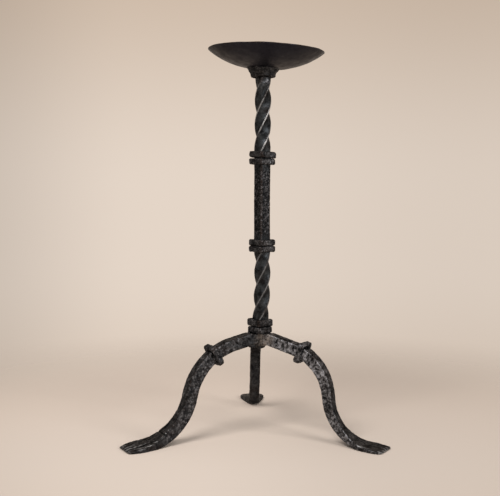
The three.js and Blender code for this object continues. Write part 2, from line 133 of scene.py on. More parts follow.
# Each leg slopes down from the hub along its arm (slope, length), bends over the shoulder into
# the shank (slope), bends back at the ankle and ends in its foot (slope, length). Slopes are
# degrees below level, shoulder and ankle are radii, and lengths are mm. A section gives the
# distance back from the tip, then the bar's width and thickness there. At such distances too,
# bare gives how far the scale has come off and rub how bright the arrises are. crease is where a
# chisel cut crosses the upper face, and heel the corner radius behind the foot. grooves is the
# depth of the foot's grooves, crown the share of the thickness that its upper face falls by at
# the sides, and top_bare how bare that face is beside the sides of the bar.
LEGS = {
    "left": {
        "azimuth": 209.8, "arm": (11.6, 68.5), "shoulder": 129.6, "shank": 77.8,
        "ankle": 111, "foot": (3.6, 44), "collar_at": 117,
        "sections": (
            (0, 45, 6), (5, 55, 7.5), (25, 60, 11), (45, 55, 16), (70, 42, 21), (100, 30, 25),
            (130, 25.8, 25.8),
        ),
        "grooves": 8, "crown": 0.35, "crease": 88, "top_bare": 0.7, "collar_bare": 0.5,
        "bare": ((0, 0.25), (70, 0.3), (130, 0.55), (300, 0.65), (350, 0.35), (385, 0.05)),
        "rub": ((0, 0.5), (30, 0.7), (80, 0.8), (92, 0.9), (150, 0.7), (200, 0.25), (400, 0.2)),
    },
    "right": {
        "azimuth": 327.6, "arm": (13.6, 91), "shoulder": 100.8, "shank": 82.4,
        "ankle": 92, "foot": (2.4, 40.5), "collar_at": 107.5,
        "sections": (
            (0, 45, 5.5), (5, 55, 6.2), (25, 59, 8), (50, 51, 10.5), (73, 35, 14.4),
            (100, 24, 17.8), (130, 20.6, 20.6), (200, 22, 22), (280, 25, 25),
        ),
        "grooves": 4, "crown": 0.3, "top_bare": 0.4, "collar_bare": 0.7,
        "bare": (
            (0, 0.7), (60, 0.85), (110, 0.85), (160, 0.9), (200, 1.1), (250, 1.6), (300, 1.3),
            (400, 1),
        ),
        "rub": ((0, 0.6), (12, 0.6), (60, 0.7), (130, 0.4), (200, 0.15), (400, 0.15)),
    },
    "back": {
        "azimuth": 93.2, "arm": (12.5, 94.5), "shoulder": 105, "shank": 80,
        "ankle": 97, "foot": (2, 53), "collar_at": 114,
        "sections": (
            (0, 34, 6), (4, 46, 7.2), (12, 55, 9), (25, 58, 11), (38, 54, 14.5),
            (52, 46, 17.5), (70, 36, 21), (100, 26, 24), (130, 23, 23),
        ),
        "grooves": 2, "crown": 0.35, "heel": 9, "top_bare": 0.5, "collar_bare": 0.3,
        "bare": ((0, 0.6), (60, 0.4), (120, 0.12), (400, 0.12)),
        "rub": ((0, 0.4), (60, 0.1), (400, 0.05)),
    },
}


# ---- Sizes and colours that a user would change


def linear(code):
    """The linear colour of an sRGB hex code such as #25262a."""
    parts = (int(code[k : k + 2], 16) / 255 for k in (1, 3, 5))
    return tuple(p / 12.92 if p <= 0.04045 else ((p + 0.055) / 1.055) ** 2.4 for p in parts)


def length(name, description, default):
    return FloatProperty(name=name, description=description, default=default * MM, unit="LENGTH")


def angle(name, description, default):
    return FloatProperty(
        name=name, description=description, default=radians(default), subtype="ANGLE"
    )


def colour(name, description, default):
    return FloatVectorProperty(
        name=name, description=description, default=linear(default), subtype="COLOR", size=3,
        min=0, max=1,
    )


class StemSizes(bpy.types.PropertyGroup):
    side: length("Bar side", "The square bar, flat to flat", 25.8)
    edge_radius: length("Edge radius", "Rounding of the bar's arrises", 2.2)
    lower_twist: angle("Lower twist", "Turn of the bar between its base and its waist", 266)
    upper_twist: angle("Upper twist", "Turn of the bar between its neck and the dish", 272)
    middle_turn: angle("Middle turn", "How far the plain middle's flats stand off +X", 37.5)
    top_tenon: length("Top tenon", "Radius of the tenon that grips the dish", 7)
    foot_tenon: length("Foot tenon", "Radius of the tenon in the hub", 8)
    foot_head: length("Foot head", "Radius of the tenon's riveted head", 11)


class CollarSizes(bpy.types.PropertyGroup):
    corner: length("Corner", "Outside corner radius of a stem collar", 6.5)
    leg_corner: length("Leg corner", "Outside corner radius of a leg collar", 8)
    leg_wall: length("Leg wall", "Thickness of a leg collar's wall", 9)
    leg_length: length("Leg length", "Length of a leg collar along its leg", 13)
    leg_lean: angle("Leg lean", "How far a leg collar's upper end leans to the hub", 4.5)
    edge_round: length("Edge round", "Rounding of a collar's long edges", 3.6)
    joint: length("Joint", "Width of the butt joint where a collar's ends meet", 0.8)


class HubSizes(bpy.types.PropertyGroup):
    radius: length("Radius", "Radius of the block that the legs meet in", 18)
    rise: length("Rise", "The block's top, above where the legs' centre lines meet", 5.3)
    underside: length("Underside", "Rounding of the lower edge", 4)


class DishSizes(bpy.types.PropertyGroup):
    across: length("Across", "Half width of the ellipsoid that the dish is a part of", 150)
    down: length("Down", "Half height of that ellipsoid", 91)
    rim: length("Rim", "Radius of the rim", 122)
    wall: length("Wall", "Thickness of the plate", 2.8)
    offset: length("Offset", "How far the dish stands off the stem's axis", 5)
    tilt: angle("Tilt", "Turn that lowers the dish's +X side", 2.2)
    nod: angle("Nod", "Turn that lowers its near side", 0.9)
    seat_height: length("Seat height", "Height of the seat under the dish", 15.8)
    seat_lip: length("Seat lip", "Radius of the seat's lower lip", 26.4)
    seat_top: length("Seat top", "Radius of the seat where it meets the dish", 34.5)
    flange: length("Flange", "Radius of the flange that the candle stands on", 17)
    boss: length("Boss", "Radius of the boss under the spike", 10.5)
    spike: length("Spike", "Radius of the spike at its root", 6)


class IronLooks(bpy.types.PropertyGroup):
    scale: colour("Scale", "Black forge scale", "#151618")
    steel: colour("Steel", "Blue-grey bar where the scale is thin", "#474c50")
    thick: colour("Thick scale", "Scale on the collars and the legs", "#424345")
    worn: colour("Worn", "Rubbed arrises", "#a3a4a5")
    fleck: colour("Fleck", "Bright flecks on the legs", "#a3a2a6")
    brown: colour("Brown", "Old waxed rust", "#2c231e")
    weld: colour("Weld", "Heat-tinted iron by the hub's weld", "#8d837b")
    dish: colour("Dish", "The waxed plate of the dish", "#27262d")
    seed: IntProperty(name="Seed", description="Seed of every hammer and pit pattern", default=7)


class StageLooks(bpy.types.PropertyGroup):
    paper: colour("Paper", "The paper that the stand is on", "#dfcfc1")
    # Painted light: the shade colour paints the paper behind the stand brighter than the paper in
    # front, to make up for the lamps falling off there.
    shade: colour("Shade", "The paper behind the stand", "#ebd7c6")
    backdrop: colour("Backdrop", "The backdrop at the height of the stand", "#e4d5c7")
    # Painted shade: the backdrop colour away from the stand's height.
    painted_backdrop_shade: colour("Dusk", "The backdrop above and below that", "#cbb7a4")
    key: FloatProperty(name="Key", description="Power of the left softbox in watts", default=38)
    fill: FloatProperty(name="Fill", description="Power of the right softbox in watts", default=10)
    low: FloatProperty(name="Low", description="Power of the low softbox in watts", default=20)
    sky: FloatProperty(name="Sky", description="Strength of the room's even light", default=0.3)
    focal: FloatProperty(
        name="Focal length", description="The camera's focal length in pixels of a 500 wide image",
        default=881,
    )


class StandSettings(bpy.types.PropertyGroup):
    stem: PointerProperty(type=StemSizes)
    collar: PointerProperty(type=CollarSizes)
    hub: PointerProperty(type=HubSizes)
    dish: PointerProperty(type=DishSizes)
    iron: PointerProperty(type=IronLooks)
    stage: PointerProperty(type=StageLooks)


# ---- Nodes


def add(tree, kind, inputs=(), **settings):
    """Adds a node, sets it, links or fills its inputs, and returns its first open output. Inputs
    are a row for the first sockets, or a dict by the socket's name or number. A Map Range's row
    is what it reads, from where to where, and what it gives at those ends."""
    node = tree.nodes.new(kind)
    for name, value in settings.items():
        setattr(node, name, value)
    for key, value in inputs.items() if isinstance(inputs, dict) else enumerate(inputs):
        if isinstance(key, int):
            socket = node.inputs[key]
        else:
            socket = next(s for s in node.inputs if s.enabled and s.name == key)
        if isinstance(value, bpy.types.NodeSocket):
            tree.links.new(value, socket)
        else:
            socket.default_value = value
    return next((s for s in node.outputs if s.enabled), node)


def new_tree(name, sockets):
    """A Geometry Nodes tree with a geometry input and these named ones, its input sockets, and
    what adds a node to it."""
    tree = bpy.data.node_groups.new(name, "GeometryNodeTree")
    tree.interface.new_socket("Geometry", in_out="INPUT", socket_type="NodeSocketGeometry")
    for label, kind in sockets.items():
        tree.interface.new_socket(label, in_out="INPUT", socket_type=f"NodeSocket{kind}")
    tree.interface.new_socket("Geometry", in_out="OUTPUT", socket_type="NodeSocketGeometry")
    return tree, tree.nodes.new("NodeGroupInput").outputs, partial(add, tree)


def new_material(name):
    """An empty material, and what adds a node to it."""
    material = bpy.data.materials.new(name)
    material.use_nodes = True
    material.node_tree.nodes.clear()
    return material, partial(add, material.node_tree)


def forged_bar_tree():
    """Sweeps a rounded section along a spine. Each station of the spine holds its own frame and
    section: centre, across, upper, width, thickness, corner, crown, groove and along."""
    tree, given, node = new_tree(
        "Forged Bar", {"Points Round": "Int", "Groove Spacing": "Float", "Top Bare": "Float"}
    )
    square = node("GeometryNodeCurvePrimitiveQuadrilateral", {"Width": 1.0, "Height": 1.0})
    even = node("GeometryNodeResampleCurve", {"Curve": square, "Count": given["Points Round"]})
    here = node("GeometryNodeInputPosition")
    profile = node(
        "GeometryNodeStoreNamedAttribute", {"Geometry": even, "Name": "place", "Value": here},
        data_type="FLOAT_VECTOR",
    )
    spine = node("GeometryNodeMeshToCurve", {"Mesh": given["Geometry"]})
    bar = node(
        "GeometryNodeCurveToMesh", {"Curve": spine, "Profile Curve": profile, "Fill Caps": True}
    )
    width, thickness, corner, crown, groove, along, bare = (
        node("GeometryNodeInputNamedAttribute", {"Name": name}, data_type="FLOAT")
        for name in ("width", "thickness", "corner", "crown", "groove", "along", "bare")
    )
    place, centre, across, upper = (
        node("GeometryNodeInputNamedAttribute", {"Name": name}, data_type="FLOAT_VECTOR")
        for name in ("place", "centre", "across", "upper")
    )
    # The section: a rectangle whose corners are drawn in to arcs.
    full = node("ShaderNodeCombineXYZ", (width, thickness))
    flat = node("ShaderNodeVectorMath", (place, full), operation="MULTIPLY")
    half = node("ShaderNodeVectorMath", {0: full, "Scale": 0.5}, operation="SCALE")
    radius = node("ShaderNodeCombineXYZ", (corner, corner))
    room = node("ShaderNodeVectorMath", (half, radius), operation="SUBTRACT")
    floor = node("ShaderNodeVectorMath", {0: room, "Scale": -1.0}, operation="SCALE")
    above = node("ShaderNodeVectorMath", (flat, floor), operation="MAXIMUM")
    core = node("ShaderNodeVectorMath", (above, room), operation="MINIMUM")
    past = node("ShaderNodeVectorMath", (flat, core), operation="SUBTRACT")
    outward = node("ShaderNodeVectorMath", (past,), operation="NORMALIZE")
    arc = node("ShaderNodeVectorMath", {0: outward, "Scale": corner}, operation="SCALE")
    rounded = node("ShaderNodeVectorMath", (core, arc), operation="ADD")
    parts = node("ShaderNodeSeparateXYZ", (rounded,)).node.outputs
    # The upper face is crowned: it falls away to both sides, by the crown at its very edges.
    aside = node("ShaderNodeMath", (parts["X"], width), operation="DIVIDE")
    square_aside = node("ShaderNodeMath", (aside, aside), operation="MULTIPLY")
    steep = node("ShaderNodeMath", (crown, 4.0), operation="MULTIPLY")
    fall = node("ShaderNodeMath", (square_aside, steep), operation="MULTIPLY")
    kept = node("ShaderNodeMath", (1.0, fall), operation="SUBTRACT")
    over = node("ShaderNodeMath", (parts["Y"], 0.0), operation="MAXIMUM")
    under = node("ShaderNodeMath", (parts["Y"], 0.0), operation="MINIMUM")
    crowned = node("ShaderNodeMath", (over, kept, under), operation="MULTIPLY_ADD")
    # Lengthwise grooves on the upper face, left by the fuller that spread the foot. The pattern
    # has a mean of 0.5, so it mostly sinks the face.
    side_step = node("ShaderNodeMath", (parts["X"], given["Groove Spacing"]), operation="DIVIDE")
    drawn_out = node("ShaderNodeMath", (along, GROOVE_WAVES), operation="MULTIPLY")
    grain = node("ShaderNodeCombineXYZ", (side_step, drawn_out))
    lines = node(
        "ShaderNodeTexNoise", {"Vector": grain, "Scale": 1.0, "Detail": 1.0, "Roughness": 0.5}
    )
    sunk = node("ShaderNodeMath", (lines, 0.62), operation="SUBTRACT")
    on_top = node("ShaderNodeMapRange", (parts["Y"], 0.0, 2 * MM))
    depth = node("ShaderNodeMath", (groove, on_top), operation="MULTIPLY")
    height = node("ShaderNodeMath", (sunk, depth, crowned), operation="MULTIPLY_ADD")
    sideways = node("ShaderNodeVectorMath", {0: across, "Scale": parts["X"]}, operation="SCALE")
    upwards = node("ShaderNodeVectorMath", {0: upper, "Scale": height}, operation="SCALE")
    offset = node("ShaderNodeVectorMath", (sideways, upwards), operation="ADD")
    point = node("ShaderNodeVectorMath", (centre, offset), operation="ADD")
    swept = node("GeometryNodeSetPosition", {"Geometry": bar, "Position": point})
    # The scale has come off the sides more than off the upper and lower faces, which reach to
    # about the outer tenth of the width.
    off_middle = node("ShaderNodeMath", (aside,), operation="ABSOLUTE")
    side = node("ShaderNodeMapRange", (off_middle, 0.38, 0.47, given["Top Bare"]))
    bared = node("ShaderNodeMath", (bare, side), operation="MULTIPLY")
    marked = node(
        "GeometryNodeStoreNamedAttribute", {"Geometry": swept, "Name": "bare", "Value": bared},
        data_type="FLOAT",
    )
    real = node("GeometryNodeRealizeInstances", {"Geometry": marked})
    node("NodeGroupOutput", {"Geometry": real})
    return tree


def twist_tree():
    """Turns a straight upright bar about its own axis: evenly over two stretches, and by the
    middle turn everywhere."""
    names = (
        "Middle Turn", "Lower Twist", "Lower From", "Lower To", "Upper Twist", "Upper From",
        "Upper To",
    )
    tree, given, node = new_tree("Twist", dict.fromkeys(names, "Float"))
    here = node("GeometryNodeInputPosition")
    level = node("ShaderNodeSeparateXYZ", (here,)).node.outputs["Z"]
    back = node("ShaderNodeMath", (given["Lower Twist"], -1.0), operation="MULTIPLY")
    below = node("ShaderNodeMapRange", (level, given["Lower From"], given["Lower To"], back, 0.0))
    above = node(
        "ShaderNodeMapRange",
        (level, given["Upper From"], given["Upper To"], 0.0, given["Upper Twist"]),
    )
    both = node("ShaderNodeMath", (below, above), operation="ADD")
    turn = node("ShaderNodeMath", (both, given["Middle Turn"]), operation="ADD")
    axis = node("GeometryNodeInputNamedAttribute", {"Name": "centre"}, data_type="FLOAT_VECTOR")
    place = node(
        "ShaderNodeVectorRotate", {"Vector": here, "Center": axis, "Angle": turn},
        rotation_type="Z_AXIS",
    )
    twisted = node("GeometryNodeSetPosition", {"Geometry": given["Geometry"], "Position": place})
    real = node("GeometryNodeRealizeInstances", {"Geometry": twisted})
    node("NodeGroupOutput", {"Geometry": real})
    return tree


def forge_marks_tree():
    """Works the surface as a hammer and rust do: lumps, round dents and pits. It leaves four
    attributes for the finish: wear, high on arrises and high spots, pit, rub, how bright the worn
    places are, and bare, the share of the scale that has come off."""
    names = (
        "Lump Depth", "Lump Size", "Dent Depth", "Dent Size", "Pit Depth", "Pit Size",
        "Wear Height", "Rough", "Rub", "Bare", "Seed",
    )
    tree, given, node = new_tree(
        "Forge Marks", {**dict.fromkeys(names, "Float"), "Material": "Material"}
    )

    def on_piece(name):
        """The piece's own attribute, or the tree's input of that name where it has none."""
        own = node("GeometryNodeInputNamedAttribute", {"Name": name}).node.outputs
        return node(
            "GeometryNodeSwitch",
            {"Switch": own["Exists"], "False": given[name.title()], "True": own["Attribute"]},
            input_type="FLOAT",
        )

    here = node("GeometryNodeInputPosition")
    normal = node("GeometryNodeInputNormal")
    seeded = node("ShaderNodeCombineXYZ", (given["Seed"], given["Seed"]))

    def pattern(size):
        """Where to read a pattern whose marks are of that size."""
        count = node("ShaderNodeMath", (1.0, given[size]), operation="DIVIDE")
        scaled = node("ShaderNodeVectorMath", {0: here, "Scale": count}, operation="SCALE")
        return node("ShaderNodeVectorMath", (scaled, seeded), operation="ADD")

    lump = node(
        "ShaderNodeTexNoise",
        {"Vector": pattern("Lump Size"), "Scale": 1.0, "Detail": 2.0, "Roughness": 0.5},
    )
    lump_centred = node("ShaderNodeMath", (lump, 0.5), operation="SUBTRACT")
    lump_height = node("ShaderNodeMath", (lump_centred, given["Lump Depth"]), operation="MULTIPLY")
    cell = node(
        "ShaderNodeTexVoronoi",
        {"Vector": pattern("Dent Size"), "Scale": 1.0, "Smoothness": 0.35}, feature="SMOOTH_F1",
    )
    bowl = node("ShaderNodeMath", (cell, cell), operation="MULTIPLY")
    bowl_centred = node("ShaderNodeMath", (bowl, 0.3), operation="SUBTRACT")  # about its mean
    dented = node(
        "ShaderNodeMath", (bowl_centred, given["Dent Depth"], lump_height),
        operation="MULTIPLY_ADD",
    )
    # Rust has eaten the metal where its pattern is high.
    rust = node(
        "ShaderNodeTexNoise",
        {"Vector": pattern("Pit Size"), "Scale": 1.0, "Detail": 3.0, "Roughness": 0.6},
    )
    eaten = node("ShaderNodeMapRange", (rust, 0.53, 0.66))
    pit = node("ShaderNodeMath", (eaten, on_piece("rough")), operation="MULTIPLY")
    depth = node("ShaderNodeMath", (pit, given["Pit Depth"]), operation="MULTIPLY")
    out = node("ShaderNodeMath", (dented, depth), operation="SUBTRACT")
    offset = node("ShaderNodeVectorMath", {0: normal, "Scale": out}, operation="SCALE")
    pitted = node(
        "GeometryNodeStoreNamedAttribute",
        {"Geometry": given["Geometry"], "Name": "pit", "Value": pit}, data_type="FLOAT",
    )
    worked = node("GeometryNodeSetPosition", {"Geometry": pitted, "Offset": offset})
    # Nothing goes below the floor.
    parts = node("ShaderNodeSeparateXYZ", (here,)).node.outputs
    level = node("ShaderNodeMath", (parts["Z"], 0.0), operation="MAXIMUM")
    lifted = node("ShaderNodeCombineXYZ", (parts["X"], parts["Y"], level))
    standing = node("GeometryNodeSetPosition", {"Geometry": worked, "Position": lifted})
    # Wear is how far a point stands out of its surroundings, in shares of the wear height.
    around = node(
        "GeometryNodeBlurAttribute", {"Value": here, "Iterations": 10}, data_type="FLOAT_VECTOR"
    )
    proud = node("ShaderNodeVectorMath", (here, around), operation="SUBTRACT")
    stand_out = node("ShaderNodeVectorMath", (proud, normal), operation="DOT_PRODUCT").node.outputs
    wear = node("ShaderNodeMath", (stand_out["Value"], given["Wear Height"]), operation="DIVIDE")
    marked = standing
    for name, value in (("wear", wear), ("rub", on_piece("rub")), ("bare", on_piece("bare"))):
        marked = node(
            "GeometryNodeStoreNamedAttribute",
            {"Geometry": marked, "Name": name, "Value": value}, data_type="FLOAT",
        )
    smooth = node("GeometryNodeSetShadeSmooth", {"Geometry": marked})
    real = node("GeometryNodeRealizeInstances", {"Geometry": smooth})
    coated = node("GeometryNodeSetMaterial", {"Geometry": real, "Material": given["Material"]})
    node("NodeGroupOutput", {"Geometry": coated})
    return tree


def shared(name, make):
    """The tree of that name, made the first time it is asked for."""
    return bpy.data.node_groups.get(name) or make()


def give_tree(obj, tree, **values):
    """Puts a tree on an object. Inputs are set by identifier, with _ for a space in a name."""
    modifier = obj.modifiers.new(tree.name, "NODES")
    modifier.node_group = tree
    wanted = {name.replace("_", " ").title(): value for name, value in values.items()}
    for item in tree.interface.items_tree:
        if item.in_out == "INPUT" and item.name in wanted:
            modifier[item.identifier] = wanted.pop(item.name)
    if wanted:
        raise ValueError(f"{tree.name} has no input named {sorted(wanted)}")


def apply_trees(obj):
    """Replaces the object's mesh by what its modifiers make of it."""
    evaluated = obj.evaluated_get(bpy.context.evaluated_depsgraph_get())
    made = bpy.data.meshes.new_from_object(evaluated)
    obj.modifiers.clear()
    spare = obj.data
    obj.data = made
    bpy.data.meshes.remove(spare)


# ---- Meshes


def mesh_object(name, points, edges=(), faces=()):
    mesh = bpy.data.meshes.new(name)
    mesh.from_pydata(np.asarray(points).tolist(), list(map(tuple, edges)), list(map(tuple, faces)))
    obj = bpy.data.objects.new(name, mesh)
    bpy.context.scene.collection.objects.link(obj)
    return obj


def close_up(obj):
    """Merges doubled points and turns every face outwards."""
    form = bmesh.new()
    form.from_mesh(obj.data)
    bmesh.ops.remove_doubles(form, verts=form.verts, dist=0.001 * MM)
    bmesh.ops.recalc_face_normals(form, faces=form.faces)
    form.to_mesh(obj.data)
    form.free()


def refined(rows, step):
    """The rows with others between them, so that no two are further apart than the step."""
    rows = np.asarray(rows, float)
    out = [rows[0]]
    for low, high in zip(rows, rows[1:]):
        parts = max(1, ceil(np.linalg.norm(high - low) / step))
        out.extend(low + (high - low) * k / parts for k in range(1, parts + 1))
    return np.array(out)


KEPT_ATTRIBUTES = ("rough", "rub", "bare")  # the others only place the surface


def bar_object(name, stations, twist=None, top_bare=1.0):
    """A forged bar from its stations, a dict of one array for each attribute of the spine."""
    centre = stations["centre"]
    count = len(centre)
    obj = mesh_object(name, centre, edges=zip(range(count - 1), range(1, count)))
    for key, values in stations.items():
        values = np.broadcast_to(values, (count, *np.shape(values)[1:])).astype(np.float32)
        kind = "FLOAT_VECTOR" if values.ndim > 1 else "FLOAT"
        data = obj.data.attributes.new(key, kind, "POINT").data
        data.foreach_set("vector" if values.ndim > 1 else "value", values.ravel())
    around = 2 * (np.max(stations["width"]) + np.max(stations["thickness"]))
    points = 8 * ceil(around / MESH_STEP / 8)
    give_tree(
        obj, shared("Forged Bar", forged_bar_tree), points_round=points,
        groove_spacing=GROOVE_SPACING, top_bare=top_bare,
    )
    if twist:
        give_tree(obj, shared("Twist", twist_tree), **twist)
    apply_trees(obj)
    for key in (*stations, "place"):
        if key not in KEPT_ATTRIBUTES and key in obj.data.attributes:
            obj.data.attributes.remove(obj.data.attributes[key])
    close_up(obj)
    return obj


def turned_object(name, profile, axis, around, closed=False, change=None):
    """A turned piece from a profile of radius and height. change moves its points afterwards."""
    angles = np.arange(around) / around * 2 * pi
    radius, height = np.asarray(profile, float).T
    points = np.stack(
        [
            np.outer(np.cos(angles), radius) + axis[0],
            np.outer(np.sin(angles), radius) + axis[1],
            np.broadcast_to(height, (around, len(height))) + axis[2],
        ],
        axis=-1,
    )
    if change:
        points = change(points, angles)
    rows = len(profile)
    last = rows if closed else rows - 1
    faces = [
        (a * rows + b, ((a + 1) % around) * rows + b,
         ((a + 1) % around) * rows + (b + 1) % rows, a * rows + (b + 1) % rows)
        for a in range(around)
        for b in range(last)
    ]
    obj = mesh_object(name, points.reshape(-1, 3), faces=faces)
    close_up(obj)
    return obj


# What the hammer and rust leave on the pieces, in mm: how far an arris stands out, then the depth
# and the size of the lumps, of the dents and of the pits.
MARK_NAMES = (
    "wear_height", "lump_depth", "lump_size", "dent_depth", "dent_size", "pit_depth", "pit_size",
)
MARKS = {
    "stem": (0.42, 0.8, 16, 0.3, 6, 0.6, 4),
    "stem_collar": (1.4, 2, 11, 0.9, 6, 0.25, 3.4),
    "leg": (0.4, 1.6, 22, 0.7, 8, 0.5, 4.5),
    "leg_collar": (1.4, 2.6, 11, 0.9, 6, 0.25, 3.4),
    "hub": (1.4, 2.6, 9, 0.8, 5, 0.25, 3.4),
    "dish_seat": (1.4, 2.8, 8, 1, 6, 0.25, 3.4),
    "dish": (1.2, 1.4, 38, 0.35, 13, 0.12, 3.4),
    "pricket": (1.4, 0.5, 9, 0.3, 5, 0.15, 2.5),
}


def finish_piece(obj, node, material, marks, seed, rub=0.25, bare=0.1):
    """Forges the surface, gives the finish, and puts the piece in the place of its node."""
    sizes = {name: size * MM for name, size in zip(MARK_NAMES, MARKS[marks])}
    give_tree(
        obj, shared("Forge Marks", forge_marks_tree), material=material, rough=1.0, rub=rub,
        bare=bare, seed=seed, **sizes,
    )
    apply_trees(obj)
    obj.data.name = obj.name
    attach(obj, "root")
    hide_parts(node)


# ---- Finishes


def per(size):
    """The scale of a texture whose pattern repeats about every so many millimetres."""
    return 1 / (size * MM)


def solid(rgb):
    return (*rgb, 1.0)


def forged_iron(name, scale, steel, brown, fleck, fleck_size, worn, grit, weld=None, tint=0.5):
    """Iron as the smith left it: black scale over grey steel, stained brown, flecked where the
    scale has come off, and worn bright on its arrises."""
    if name in bpy.data.materials:
        return bpy.data.materials[name]
    material, node = new_material(name)
    place = node("ShaderNodeTexCoord").node.outputs["Object"]
    wear, pit, polish, stripped, rough = (
        node("ShaderNodeAttribute", attribute_name=mark).node.outputs["Fac"]
        for mark in ("wear", "pit", "rub", "bare", "rough")
    )
    # The size of each pattern in mm, then its detail, its roughness and how far it is distorted.
    cloud, stain, speck, grain = (
        node(
            "ShaderNodeTexNoise",
            {"Vector": place, "Scale": per(size), "Detail": detail, "Roughness": coarse,
             "Distortion": bent},
        )
        for size, detail, coarse, bent in (
            (15, 4.0, 0.6, 0.0),  # clouds of thin and thick scale, about a thumb's width across
            (34, 5.0, 0.65, 0.0),  # stains, wider than the clouds
            (fleck_size, 5.0, 0.72, 0.2),  # flecks where the scale has come off
            (1.6, 3.0, 0.7, 0.0),  # grain of the scale, drawn at the finest that shows
        )
    )
    # What is read off, from where to where, and what it is at those ends.
    thin, shows, stained, arris, rubbed, broken, pitted, hollow, gloss = (
        node("ShaderNodeMapRange", row)
        for row in (
            (cloud, 0.36, 0.64, 0.0, 1.0),  # thin scale, that the steel shows through
            (rough, 0.0, 1.0, 1.0, 0.1),  # where the bar was left rough, thick scale hides all
            (stain, 0.5, 0.66, 0.0, 0.5),  # brown stains
            (wear, 0.35, 0.75, 0.0, 0.7),  # a brown line along each arris
            (wear, 0.9, 1.4, 0.0, polish),  # arrises that hands and brushes have rubbed
            (stain, 0.4, 0.55, 0.1, 1.0),  # the broken lengths that they are rubbed in
            (pit, 0.0, 1.0, 0.0, 0.8),  # black pits
            (wear, 0.0, -1.4, 0.0, 1.0),  # black hollows
            (cloud, 0.35, 0.65, 0.52, 0.38),  # how rough the finish is
        )
    )
    blued = node("ShaderNodeMath", (thin, shows), operation="MULTIPLY")
    stains = node("ShaderNodeMath", (stained, shows), operation="MULTIPLY")
    browned = node("ShaderNodeMath", (stains, arris), operation="MAXIMUM")
    # Where more of the scale is off, the flecks are larger as well as brighter. They lie in
    # patches.
    patchy = node("ShaderNodeMapRange", (thin, 0.0, 1.0, 0.35, 1.0))
    off = node("ShaderNodeMath", (stripped, patchy), operation="MULTIPLY")
    level = node("ShaderNodeMapRange", (off, 0.0, 1.0, 0.52, 0.4))
    above = node("ShaderNodeMath", (speck, level), operation="SUBTRACT")
    open_spot = node("ShaderNodeMapRange", (above, 0.0, 0.18))
    bare = node("ShaderNodeMath", (open_spot, off), operation="MULTIPLY")
    coats = [(blued, steel), (browned, brown), (bare, fleck)]
    dull = node("ShaderNodeMath", (bare, browned), operation="MAXIMUM")
    if weld is not None:
        # The heat tint stays round the weld of the right leg, on the hub's near side.
        away = node(
            "ShaderNodeVectorMath", (place, WELD_PLACE), operation="DISTANCE"
        ).node.outputs["Value"]
        near = node("ShaderNodeMapRange", (away, 8 * MM, 26 * MM, 1.0, 0.0))
        tinted = node("ShaderNodeMath", (near, thin), operation="MULTIPLY")
        coats.append((tinted, weld))
        dull = node("ShaderNodeMath", (dull, tinted), operation="MAXIMUM")
    rub = node("ShaderNodeMath", (rubbed, broken), operation="MULTIPLY")
    coats += [(rub, worn), (pitted, scale), (hollow, scale)]
    tone = solid(scale)
    for share, coat in coats:
        tone = node(
            "ShaderNodeMix", {"Factor": share, "A": tone, "B": solid(coat)}, data_type="RGBA"
        )
    # Scale and metal shine as metal does, stains and bared spots hardly do.
    shine = node("ShaderNodeMapRange", (dull, 0.0, 1.0, 0.9, 0.3))
    metal = node("ShaderNodeMath", (shine, rub), operation="MAXIMUM")
    bump = node("ShaderNodeBump", {"Height": grain, "Strength": grit, "Distance": 0.35 * MM})
    shader = node(
        "ShaderNodeBsdfPrincipled",
        {"Base Color": tone, "Metallic": metal, "Roughness": gloss, "Normal": bump,
         "Specular IOR Level": 0.2, "Specular Tint": (tint, tint, tint, 1.0)},
    )
    node("ShaderNodeOutputMaterial", {"Surface": shader})
    return material


def stem_iron(iron):
    """Blue-black forge scale on hot-twisted bar: soft grey on the faces, bright arrises."""
    return forged_iron(
        "blued_wrought_iron", iron.scale, iron.steel, iron.brown, iron.fleck, 4.0, iron.worn, 0.15
    )


def collar_iron(iron):
    """Thick forge scale, never brushed: near black, with a few bare specks."""
    return forged_iron(
        "blackened_wrought_iron", iron.scale, iron.thick, iron.brown, iron.fleck, 4.0, iron.worn,
        0.4,
    )


def leg_iron(iron):
    """Brushed and waxed wrought iron: bright flecks through broken scale, brown stains."""
    return forged_iron(
        "brushed_wrought_iron", iron.scale, iron.thick, iron.brown, iron.fleck, 6.0, iron.worn,
        0.4, iron.weld,
    )


def dish_iron(iron):
    """Waxed plate: brown-black and satin, hardly worn but on the rim."""
    return forged_iron(
        "waxed_iron_plate", iron.dish, iron.dish, iron.dish, iron.steel, 9.0, iron.brown, 0.2,
        tint=0.9,
    )


# ---- The stem


def lean_at(level):
    """How far the bar's axis stands off the hub's: it leaves each collar leaning, then rights."""
    levels = np.asarray(level, float)
    lean = np.full(levels.shape, LEAN_STRETCHES[0][2])
    for low, high, start, end, bow in LEAN_STRETCHES:
        share = np.clip((levels - low) / (high - low), 0, 1)
        here = start + (end - start) * share * (2 - share) + bow * np.sin(pi * share)
        lean = np.where(levels >= low, here, lean)
    return lean


def turn_at(stem, level):
    """How far the bar has turned at a level, as the Twist tree turns it."""
    below = np.interp(level, (BASE_TOP, WAIST_BOTTOM), (-stem.lower_twist, 0))
    above = np.interp(level, (NECK_TOP, SEAT_BOTTOM), (0, stem.upper_twist))
    return stem.middle_turn + float(below) + float(above)


